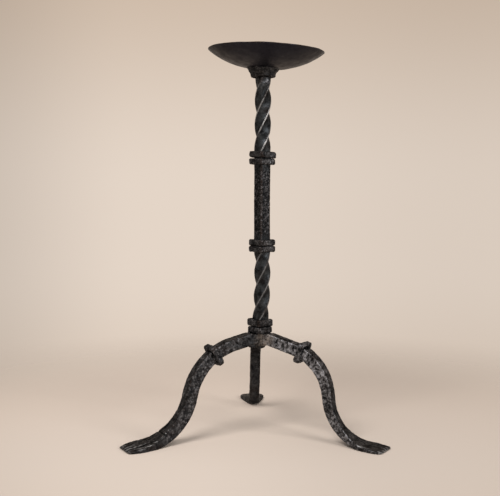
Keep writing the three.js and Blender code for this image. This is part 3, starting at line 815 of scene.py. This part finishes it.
def stem_stations(stem):
    """Level, width and corner radius up the stem, from the riveted head to the top tenon."""
    head_top = HUB_BOTTOM - GAP
    head_height = head_top - HEAD_BOTTOM
    dome = [
        (HEAD_BOTTOM + head_height * (1 - cos(a)), 2 * stem.foot_head * sin(a))
        for a in np.linspace(0.12, pi / 2, 8)  # the pole is left flat
    ]
    rows = [(level, width, width / 2) for level, width in dome]
    for low, high, width, corner in (
        (head_top, HUB_TOP, 2 * stem.foot_tenon, stem.foot_tenon),
        (HUB_TOP, SEAT_BOTTOM, stem.side, stem.edge_radius),
        (SEAT_BOTTOM, TENON_TOP, 2 * stem.top_tenon, stem.top_tenon),
    ):
        rows += [(low, width, corner), (high, width, corner)]
    return refined(rows, MESH_STEP)


def make_stem(settings):
    level, width, corner = stem_stations(settings.stem).T
    axis = np.full(len(level), HUB_AXIS.y)
    centre = np.stack([HUB_AXIS.x + lean_at(level), axis, level], axis=1)
    # The plain middle is rougher than the twists, and the bar is hammered round by the seat.
    ease = 20 * MM
    middle = np.clip((level - WAIST_TOP) / ease, 0, 1) * np.clip((NECK_BOTTOM - level) / ease, 0, 1)
    soft = np.interp(level, (SEAT_BOTTOM - 28.8 * MM, SEAT_BOTTOM - 12.8 * MM), (0, 1))
    rounder = (1.6 * soft + 0.6 * middle) * MM
    # The upper twist's arrises are the brightest, as far as hands reach down the bar.
    rub = np.interp(level, (WAIST_BOTTOM, WAIST_TOP, NECK_BOTTOM, NECK_TOP), (0.35, 0, 0, 1))
    stations = {
        "centre": centre,
        "across": np.broadcast_to((1.0, 0.0, 0.0), centre.shape),
        "upper": np.broadcast_to((0.0, 1.0, 0.0), centre.shape),
        "width": width,
        "thickness": width,
        "corner": np.minimum(corner + rounder * (width >= settings.stem.side), width / 2),
        "rough": 0.25 + 0.75 * middle,
        "rub": rub * (1 - 0.9 * soft),
        "bare": 0.12 + 0.33 * middle + 0.3 * soft,
    }
    twist = {
        "middle_turn": settings.stem.middle_turn,
        "lower_twist": settings.stem.lower_twist,
        "upper_twist": settings.stem.upper_twist,
        "lower_from": BASE_TOP,
        "lower_to": WAIST_BOTTOM,
        "upper_from": NECK_TOP,
        "upper_to": SEAT_BOTTOM,
    }
    obj = bar_object("forged_stem_bar", stations, twist)
    finish_piece(obj, "stem_bar", stem_iron(settings.iron), "stem", settings.iron.seed)


# ---- Collars


def loop_round(half, corner, gap, flats=12, arcs=7):
    """Points once round a rounded square, from one side of the gap in its -Y side to the other."""
    reach = half - corner
    side = np.linspace(0, reach, flats)
    bend = np.linspace(0, pi / 2, arcs)[1:-1]
    quarter = np.concatenate(
        [
            np.stack([side, np.full(flats, -half)], axis=1),
            np.stack([reach + corner * np.sin(bend), -reach - corner * np.cos(bend)], axis=1),
            np.stack([np.full(flats, half), side - reach], axis=1)[:-1],
        ]
    )
    quarter_turn = np.array([[0, -1], [1, 0]])
    loop = [quarter]
    for _ in range(3):
        loop.append(loop[-1] @ quarter_turn.T)
    points = np.concatenate([*loop, quarter[:1]])
    points[0, 0] = gap / 2
    points[-1, 0] = -gap / 2
    return points


def collar_stations(inner, outer, height, place, edge_round, bare, lift=None):
    """The spine of a collar wrapped round a bar: its section reaches from the inner loop to the
    outer one. lift gives how far each outer point is raised."""
    raised = np.zeros(len(outer)) if lift is None else lift
    near = np.column_stack([inner, np.zeros(len(inner)), np.ones(len(inner))]) @ place.T
    far = np.column_stack([outer, raised, np.ones(len(outer))]) @ place.T
    wall = far[:, :3] - near[:, :3]
    width = np.linalg.norm(wall, axis=1)
    ends = np.ones(len(width))
    ends[[0, -1]] = 0.8  # both ends of the band are hammered smaller
    return {
        "centre": (near[:, :3] + far[:, :3]) / 2,
        "across": wall / width[:, None],
        "upper": np.broadcast_to(place[:3, 2], wall.shape),
        "width": width * ends,
        "thickness": height * ends,
        "corner": np.minimum(edge_round, np.minimum(width, height) / 2 * 0.95) * ends,
        "bare": bare,
    }


def make_stem_collars(settings):
    stem, collar = settings.stem, settings.collar
    for index, (name, row) in enumerate(STEM_COLLARS.items()):
        height, wall, tilt, shift, bare = row
        middle = middle_of(name).z
        turn = turn_at(stem, middle)
        clear = stem.side / 2 + GAP
        inner = loop_round(clear, stem.edge_radius + GAP, collar.joint)
        outer = loop_round(clear + wall, collar.corner, collar.joint)
        shifted = np.array((cos(-turn), sin(-turn))) * shift
        lift = -(outer @ np.array((cos(turn), -sin(turn)))) * tan(radians(tilt))
        axis = Matrix.Translation((HUB_AXIS.x + float(lean_at(middle)), HUB_AXIS.y, middle))
        half_turn = Matrix.Rotation(pi, 4, "Z")  # the joint is on the far side
        place = np.array(axis @ Matrix.Rotation(turn, 4, "Z") @ half_turn)
        stations = collar_stations(
            inner, outer - shifted, height, place, collar.edge_round, bare, -lift
        )
        obj = bar_object(f"forged_{name}", stations)
        finish_piece(
            obj, name, collar_iron(settings.iron), "stem_collar",
            settings.iron.seed + 3.7 * (index + 1),
        )


# ---- Legs


def leg_path(leg, arch):
    """Distance, run, height and slope down a leg's centre line, which starts on the hub's axis
    at the arch's height. The shank is as long as it takes to reach the floor."""
    arm_slope, arm = leg["arm"]
    foot_slope, foot = leg["foot"]
    slopes = np.radians([arm_slope, arm_slope, leg["shank"], leg["shank"], foot_slope, foot_slope])
    shoulder = leg["shoulder"] * (slopes[2] - slopes[1])
    ankle = leg["ankle"] * (slopes[3] - slopes[4])

    def traced(shank):
        marks = np.cumsum([0, arm, shoulder, shank, ankle, foot]) * MM
        distance = np.linspace(0, marks[-1], ceil(4 * marks[-1] / MESH_STEP))
        slope = np.interp(distance, marks, slopes)
        step = np.diff(distance)
        mean = (slope[1:] + slope[:-1]) / 2
        run = np.concatenate([[0], np.cumsum(step * np.cos(mean))])
        drop = np.concatenate([[0], np.cumsum(step * np.sin(mean))])
        return distance, run, arch - drop, slope

    short = traced(0)[2][-1] / MM - leg["sections"][0][2] / 2
    return traced(short / sin(slopes[2]))


def leg_frames(leg, path, distances):
    """Centre, across, upper and along at distances down a leg, in the stand's own frame."""
    distance, run, height, slope = path
    reach = np.interp(distances, distance, run)
    level = np.interp(distances, distance, height)
    fall = np.interp(distances, distance, slope)
    way = radians(leg["azimuth"])
    out = np.array((cos(way), sin(way), 0.0))
    up = np.array((0.0, 0.0, 1.0))
    origin = np.array((HUB_AXIS.x, HUB_AXIS.y, 0.0))
    centre = origin + np.outer(reach, out) + np.outer(level, up)
    across = np.broadcast_to((-sin(way), cos(way), 0.0), centre.shape)
    upper = np.outer(np.sin(fall), out) + np.outer(np.cos(fall), up)
    along = np.outer(np.cos(fall), out) - np.outer(np.sin(fall), up)
    return centre, across, upper, along


def leg_section(leg, path, distances):
    """Width and thickness of a leg at distances down it."""
    back, width, thickness = np.array(leg["sections"]).T * MM
    left = path[0][-1] - np.asarray(distances)
    # The hammer leaves no corners in the outline: each place is the mean of those up to 9 mm
    # either way, and of nearer ones by the tip.
    spread = np.linspace(-9, 9, 7)[:, None] * MM * np.clip(left / (30 * MM), 0, 1)
    near = left + spread
    return np.interp(near, back, width).mean(0), np.interp(near, back, thickness).mean(0)


def make_leg(settings, index, name):
    leg = LEGS[name]
    path = leg_path(leg, HUB_TOP - settings.hub.rise)
    start = settings.hub.radius * 0.7  # its root is inside the hub
    distances = np.linspace(start, path[0][-1], ceil((path[0][-1] - start) / MESH_STEP))
    centre, across, upper, _ = leg_frames(leg, path, distances)
    width, thickness = leg_section(leg, path, distances)
    left = distances[-1] - distances
    # The last few millimetres of the foot are drawn in to a blunt edge.
    blunt = np.sqrt(np.clip(left / (3 * MM), 0.15, 1))
    # A chisel cut across the left leg shows where its foot was spread from the bar.
    cut_depth, cut_width = 3 * MM, 2 * MM
    cut = np.exp(-(((left - leg.get("crease", inf) * MM) / cut_width) ** 2))
    heel = leg["heel"] * MM if "heel" in leg else ARRIS
    corner = np.interp(left / MM, (20, 60, 110, 150), (ARRIS, heel, heel, ARRIS))
    # The upper face is crowned from 95 mm behind the tip on, and grooved from 82 mm on. Both are
    # at their full in the last 35 mm.
    stations = {
        "centre": centre,
        "across": across,
        "upper": upper,
        "width": width * (0.96 + 0.04 * blunt),
        "thickness": thickness * blunt - cut_depth * cut,
        "corner": np.minimum(corner, thickness * blunt * 0.45),
        "crown": leg["crown"] * np.interp(left / MM, (35.625, 95), (1, 0)),
        "groove": leg["grooves"] * MM * np.interp(left / MM, (38.864, 82.045), (1, 0)),
        "along": distances,
        "bare": np.interp(left / MM, *np.array(leg["bare"]).T),
        "rub": np.interp(left / MM, *np.array(leg["rub"]).T),
    }
    obj = bar_object(f"forged_leg_{name}", stations, top_bare=leg["top_bare"])
    clear_of_collar(obj, settings)
    finish_piece(
        obj, f"leg_{name}", leg_iron(settings.iron), "leg",
        settings.iron.seed + 5.3 * (index + 1),
    )


def clear_of_collar(obj, settings):
    """Cuts a leg's root level with the hub's top, where the lowest collar stands on it, and
    keeps the foot on the floor."""
    _, lowest_wall, *_ = STEM_COLLARS["base_collar_lower"]
    reach = (settings.stem.side / 2 + lowest_wall) * sqrt(2)
    for vertex in obj.data.vertices:
        aside = hypot(vertex.co.x - HUB_AXIS.x, vertex.co.y - HUB_AXIS.y)
        limit = HUB_TOP - GAP + 2 * max(0, aside - reach)  # steep outside the collar
        vertex.co.z = max(0, min(vertex.co.z, limit))


def make_leg_collar(settings, index, name):
    leg, collar = LEGS[name], settings.collar
    path = leg_path(leg, HUB_TOP - settings.hub.rise)
    at = leg["collar_at"] * MM
    centre, across, upper, along = (part[0] for part in leg_frames(leg, path, [at]))
    _, thickness = leg_section(leg, path, [at])
    frame_in = Matrix((across, upper, along)).transposed().to_4x4()
    place = Matrix.Translation(centre) @ frame_in @ Matrix.Rotation(-collar.leg_lean, 4, "X")
    clear = float(thickness[0]) / 2 + GAP
    inner = loop_round(clear, ARRIS + GAP, collar.joint)
    outer = loop_round(clear + collar.leg_wall, collar.leg_corner, collar.joint)
    stations = collar_stations(
        inner, outer, collar.leg_length, np.array(place), collar.edge_round, leg["collar_bare"]
    )
    obj = bar_object(f"forged_leg_collar_{name}", stations)
    finish_piece(
        obj, f"leg_collar_{name}", collar_iron(settings.iron), "leg_collar",
        settings.iron.seed + 7.1 * (index + 1),
    )


def make_hub(settings):
    hub = settings.hub
    bore = settings.stem.foot_tenon + GAP
    lower = [
        (hub.radius - hub.underside + hub.underside * sin(a), hub.underside * (1 - cos(a)))
        for a in np.linspace(0, pi / 2, 5)
    ]
    height = HUB_TOP - HUB_BOTTOM
    rows = [(bore, 0), *lower, (hub.radius, height), (bore, height), (bore, 0)]
    obj = turned_object(
        "forged_hub", refined(rows, MESH_STEP)[:-1], (HUB_AXIS.x, HUB_AXIS.y, HUB_BOTTOM), 88,
        closed=True,
    )
    finish_piece(obj, "hub", leg_iron(settings.iron), "hub", settings.iron.seed + 23.1)


# ---- The dish and what holds it


def dish_place(settings):
    dish = settings.dish
    pole = (HUB_AXIS.x + SEAT_LEAN + dish.offset, HUB_AXIS.y, SEAT_BOTTOM + dish.seat_height)
    turn = Matrix.Rotation(dish.nod, 4, "X") @ Matrix.Rotation(dish.tilt, 4, "Y")
    return Matrix.Translation(pole) @ turn


def dish_height(settings, x, y, inset):
    """Height of the dish's outer face, moved in by the inset, over points of the floor."""
    dish = settings.dish
    size = (dish.across - inset, dish.across - inset, dish.down - inset)
    middle = dish_place(settings) @ Matrix.Translation((0, 0, dish.down))
    back = np.array((middle @ Matrix.Diagonal((*size, 1))).inverted())
    start = np.stack([x, y, np.zeros_like(x), np.ones_like(x)], axis=-1) @ back.T
    way = back[:3, 2]
    origin = start[..., :3]
    along = way @ way
    half = origin @ way
    rest = (origin**2).sum(-1) - 1
    return (-half - np.sqrt(half**2 - along * rest)) / along


def stem_top(settings):
    return (HUB_AXIS.x + SEAT_LEAN, HUB_AXIS.y)


def make_dish_seat(settings):
    dish = settings.dish
    bore = settings.stem.top_tenon + GAP
    lip = 3 * MM  # rounding of the lower edge
    rounding = [
        (dish.seat_lip - lip + lip * sin(a), lip * (1 - cos(a))) for a in np.linspace(0, pi / 2, 5)
    ]
    # A groove round the underside, just outside the bar.
    groove = [(18.5 * MM, 0), (20.5 * MM, 1.2 * MM), (21.5 * MM, 0)]
    top = dish.seat_height
    flare = [
        (dish.seat_lip + (dish.seat_top - dish.seat_lip) * share**1.9, lip + (top - lip) * share)
        for share in np.linspace(0, 1, 9)
    ]
    rows = [(bore, 0), *groove, *rounding, *flare[1:], (bore, top), (bore, 0)]

    def under_dish(points, _):
        face = dish_height(settings, points[..., 0], points[..., 1], -GAP)
        share = np.clip((points[..., 2] - SEAT_BOTTOM) / top, 0, 1)
        points[..., 2] += share**2 * (face - SEAT_BOTTOM - top)
        return points

    obj = turned_object(
        "forged_dish_seat", refined(rows, MESH_STEP)[:-1], (*stem_top(settings), SEAT_BOTTOM), 132,
        closed=True, change=under_dish,
    )
    finish_piece(
        obj, "dish_seat", collar_iron(settings.iron), "dish_seat",
        settings.iron.seed + 31.7, rub=0.7, bare=0.35,
    )


def make_dish(settings):
    dish = settings.dish
    rim = asin(dish.rim / (dish.across - dish.wall / 2))

    def meridian(inset, start, end, parts):
        return [
            ((dish.across - inset) * sin(a), dish.down - (dish.down - inset) * cos(a))
            for a in np.linspace(start, end, parts)
        ]

    edge = rim - 0.6 * dish.wall / dish.across
    lip = meridian(dish.wall / 2, rim, rim, 1)
    rows = [*meridian(0, 0, edge, 70), *lip, *meridian(dish.wall, edge, 0, 70)]
    place = np.array(dish_place(settings))

    def hung(points, angles):
        """The rim waves up and down a little, as hand-raised plate does."""
        waves = ((0.3, 3, 1), (0.18, 7, 0), (0.12, 12, 2))  # height in mm, count, where each starts
        rise = sum(height * MM * np.sin(count * angles + start) for height, count, start in waves)
        reach = np.hypot(points[..., 0], points[..., 1]) / dish.rim
        points[..., 2] += rise[:, None] * reach**4
        whole = np.concatenate([points, np.ones((*points.shape[:-1], 1))], axis=-1)
        return (whole @ place.T)[..., :3]

    obj = turned_object("forged_dish", rows, (0, 0, 0), 320, change=hung)
    finish_piece(
        obj, "dish", dish_iron(settings.iron), "dish", settings.iron.seed + 41.9,
        rub=1.0, bare=0.2,
    )


def make_pricket(settings):
    dish = settings.dish
    x, y = stem_top(settings)
    inside = float(dish_height(settings, np.array(x), np.array(y), dish.wall))
    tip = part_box("pricket")[1].z - inside
    # Heights above the dish's inner face: the flange's underside and top, and the boss's top.
    under, top, shoulder = 0.4 * MM, 5.2 * MM, 18.2 * MM
    chamfer, taper = 0.8 * MM, 5 * MM
    rows = [
        (0, under), (dish.flange, under), (dish.flange, top - chamfer),
        (dish.flange - chamfer, top), (dish.boss, top), (dish.boss, shoulder - taper),
        (dish.spike, shoulder), (1.1 * MM, tip - 1.2 * MM), (0.5 * MM, tip - 0.2 * MM), (0, tip),
    ]

    def on_dish(points, _):
        face = dish_height(settings, points[..., 0], points[..., 1], dish.wall) + GAP
        points[..., 2] = np.maximum(points[..., 2], face)
        return points

    obj = turned_object(
        "forged_pricket", refined(rows, MESH_STEP), (x, y, inside), 64, change=on_dish
    )
    finish_piece(
        obj, "pricket", collar_iron(settings.iron), "pricket",
        settings.iron.seed + 53.3,
    )


# ---- The studio


def paper_material(stage):
    """Seamless studio paper: matt and even. It is lighter behind the stand, darker to the right,
    and passes into the backdrop towards its edge."""
    material, node = new_material("seamless_paper")
    place = node("ShaderNodeTexCoord").node.outputs["Object"]
    parts = node("ShaderNodeSeparateXYZ", (place,)).node.outputs
    # The painted light behind the stand begins along a line that wanders by 60 mm.
    cloud = node(
        "ShaderNodeTexNoise", {"Vector": place, "Scale": per(900), "Detail": 1.0, "Roughness": 0.4}
    )
    uneven = node("ShaderNodeMapRange", (cloud, 0.3, 0.7, -0.06, 0.06))
    line = node("ShaderNodeMath", (parts["Y"], uneven), operation="ADD")
    painted_light_share = node("ShaderNodeMapRange", (line, -0.45, 0.32), interpolation_type="SMOOTHSTEP")
    tone = node(
        "ShaderNodeMix",
        {"Factor": painted_light_share, "A": solid(stage.paper), "B": solid(stage.shade)}, data_type="RGBA",
    )
    # Painted shade: the paper's colour falls by 12 per cent from X -0.15 m to X 0.25 m, the stand's
    # right.
    side = node(
        "ShaderNodeMapRange", (parts["X"], -0.15, 0.25, 1.0, 0.88),
        interpolation_type="SMOOTHSTEP",
    )
    painted_light_and_shade = node("ShaderNodeVectorMath", {0: tone, "Scale": side}, operation="SCALE")
    shader = node("ShaderNodeBsdfPrincipled", {"Base Color": painted_light_and_shade, "Roughness": 0.9})
    away = node("ShaderNodeVectorMath", (place,), operation="LENGTH").node.outputs["Value"]
    gone = node("ShaderNodeMapRange", (away, 0.3, PAPER_REACH), interpolation_type="SMOOTHSTEP")
    clear = node("ShaderNodeBsdfTransparent")
    surface = node("ShaderNodeMixShader", (gone, shader, clear))
    node("ShaderNodeOutputMaterial", {"Surface": surface})
    return material


def make_paper(stage):
    """A round sheet for the floor."""
    angles = np.linspace(0, 2 * pi, 96, endpoint=False)
    ring = [(PAPER_REACH * cos(a), PAPER_REACH * sin(a), 0.0) for a in angles]
    sheet = mesh_object("seamless_paper_sheet", ring, faces=[range(len(ring))])
    sheet.data.materials.append(paper_material(stage))


def make_backdrop(stage):
    """The room: an even light, and a pale backdrop for the camera and for what shines."""
    world = bpy.data.worlds.new("studio_room")
    world.use_nodes = True
    world.node_tree.nodes.clear()
    node = partial(add, world.node_tree)
    way = node("ShaderNodeTexCoord").node.outputs["Generated"]
    parts = node("ShaderNodeSeparateXYZ", (way,)).node.outputs
    # The backdrop is palest a little below level, at the height of the stand; above and below that,
    # painted shade darkens it.
    raised = node("ShaderNodeMath", (parts["Z"], 0.04), operation="ADD")
    off_level = node("ShaderNodeMath", (raised,), operation="ABSOLUTE")
    painted_dim_share = node("ShaderNodeMapRange", (off_level, 0.04, 0.32), interpolation_type="SMOOTHSTEP")
    tone = node(
        "ShaderNodeMix",
        {"Factor": painted_dim_share, "A": solid(stage.backdrop), "B": solid(stage.painted_backdrop_shade)}, data_type="RGBA",
    )
    # Painted shade darkens it to the far left, and a little to the right.
    left, right = (
        node("ShaderNodeMapRange", (parts["X"], *ends), interpolation_type="SMOOTHSTEP")
        for ends in ((-0.34, -0.12, 0.75, 1.0), (-0.08, 0.25, 1.0, 0.9))
    )
    level = node("ShaderNodeMath", (left, right), operation="MULTIPLY")
    backdrop = node("ShaderNodeBackground", {"Color": tone, "Strength": level})
    room = node("ShaderNodeBackground", {"Color": (1.0, 1.0, 1.0, 1.0), "Strength": stage.sky})
    ray = node("ShaderNodeLightPath").node.outputs
    shown = ray["Is Camera Ray"]
    for kind in ("Is Glossy Ray", "Is Transmission Ray"):
        shown = node("ShaderNodeMath", (shown, ray[kind]), operation="MAXIMUM")
    surface = node("ShaderNodeMixShader", (shown, room, backdrop))
    node("ShaderNodeOutputWorld", {"Surface": surface})
    bpy.context.scene.world = world


def softbox(name, azimuth, elevation, away, size, watts):
    """A square soft light that looks at the middle of the stand from a direction in degrees."""
    lamp = bpy.data.lights.new(name, "AREA")
    lamp.size = size
    lamp.energy = watts
    obj = bpy.data.objects.new(name, lamp)
    level, height = cos(radians(elevation)), sin(radians(elevation))
    way = Vector((level * cos(radians(azimuth)), level * sin(radians(azimuth)), height))
    obj.location = SOFTBOX_TARGET + way * away
    obj.rotation_euler = way.to_track_quat("Z", "Y").to_euler()
    bpy.context.scene.collection.objects.link(obj)


def make_camera(stage):
    camera = bpy.data.cameras.new("camera")
    camera.sensor_fit = "HORIZONTAL"
    camera.sensor_width = SENSOR_WIDTH
    camera.lens = stage.focal * SENSOR_WIDTH / IMAGE_WIDTH
    obj = bpy.data.objects.new("camera", camera)
    obj.location = CAMERA_PLACE
    obj.rotation_euler = (pi / 2 - CAMERA_DIP, 0, 0)
    bpy.context.scene.collection.objects.link(obj)
    bpy.context.scene.camera = obj


def make_stage(settings):
    stage = settings.stage
    make_paper(stage)
    make_backdrop(stage)
    for name, row in SOFTBOXES.items():
        softbox(f"{name}_softbox", *row, getattr(stage, name))
    bpy.context.scene.view_settings.view_transform = "Standard"
    make_camera(stage)


# ---- The add-on


def operator(idname, label, doc, work):
    """An operator class that runs one of the functions above on the scene's settings."""

    def execute(self, context):
        work(context.scene.candle_stand)
        return {"FINISHED"}

    name = "CANDLESTAND_OT_" + idname.split(".")[1]
    fields = {"__doc__": doc, "bl_idname": idname, "bl_label": label, "execute": execute}
    return type(name, (bpy.types.Operator,), fields)


def make_legs(settings):
    for index, name in enumerate(LEGS):
        make_leg(settings, index, name)


def make_leg_collars(settings):
    for index, name in enumerate(LEGS):
        make_leg_collar(settings, index, name)


OPERATORS = (
    operator("candle_stand.stem", "Stem Bar", "Make the twisted bar", make_stem),
    operator("candle_stand.collars", "Stem Collars", "Wrap the six collars", make_stem_collars),
    operator("candle_stand.hub", "Hub", "Make the hub", make_hub),
    operator("candle_stand.legs", "Legs", "Forge the three legs", make_legs),
    operator("candle_stand.leg_collars", "Leg Collars", "Wrap the legs' collars", make_leg_collars),
    operator("candle_stand.dish_seat", "Dish Seat", "Make the seat under the dish", make_dish_seat),
    operator("candle_stand.dish", "Dish", "Raise the dish", make_dish),
    operator("candle_stand.pricket", "Pricket", "Make the pricket", make_pricket),
    operator("candle_stand.stage", "Stage", "Make the studio and the camera", make_stage),
)


class CANDLESTAND_PT_panel(bpy.types.Panel):
    """Lists the pieces to make, and the sizes and colours to make them by"""

    bl_label = "Candle Stand"
    bl_idname = "CANDLESTAND_PT_panel"
    bl_space_type = "VIEW_3D"
    bl_region_type = "UI"
    bl_category = "Candle Stand"

    def draw(self, context):
        for cls in OPERATORS:
            self.layout.operator(cls.bl_idname)
        settings = context.scene.candle_stand
        for group in ("stem", "collar", "hub", "dish", "iron", "stage"):
            box = self.layout.box()
            box.label(text=group.title())
            part = getattr(settings, group)
            for name in part.__annotations__:
                box.prop(part, name)


GROUPS = (StemSizes, CollarSizes, HubSizes, DishSizes, IronLooks, StageLooks, StandSettings)


def register():
    for cls in (*GROUPS, *OPERATORS, CANDLESTAND_PT_panel):
        bpy.utils.register_class(cls)
    bpy.types.Scene.candle_stand = PointerProperty(type=StandSettings)


def unregister():
    del bpy.types.Scene.candle_stand
    for cls in reversed((*GROUPS, *OPERATORS, CANDLESTAND_PT_panel)):
        bpy.utils.unregister_class(cls)


def main():
    register()
    for cls in OPERATORS:
        getattr(bpy.ops.candle_stand, cls.bl_idname.split(".")[1])()


if __name__ == "__main__":
    main()
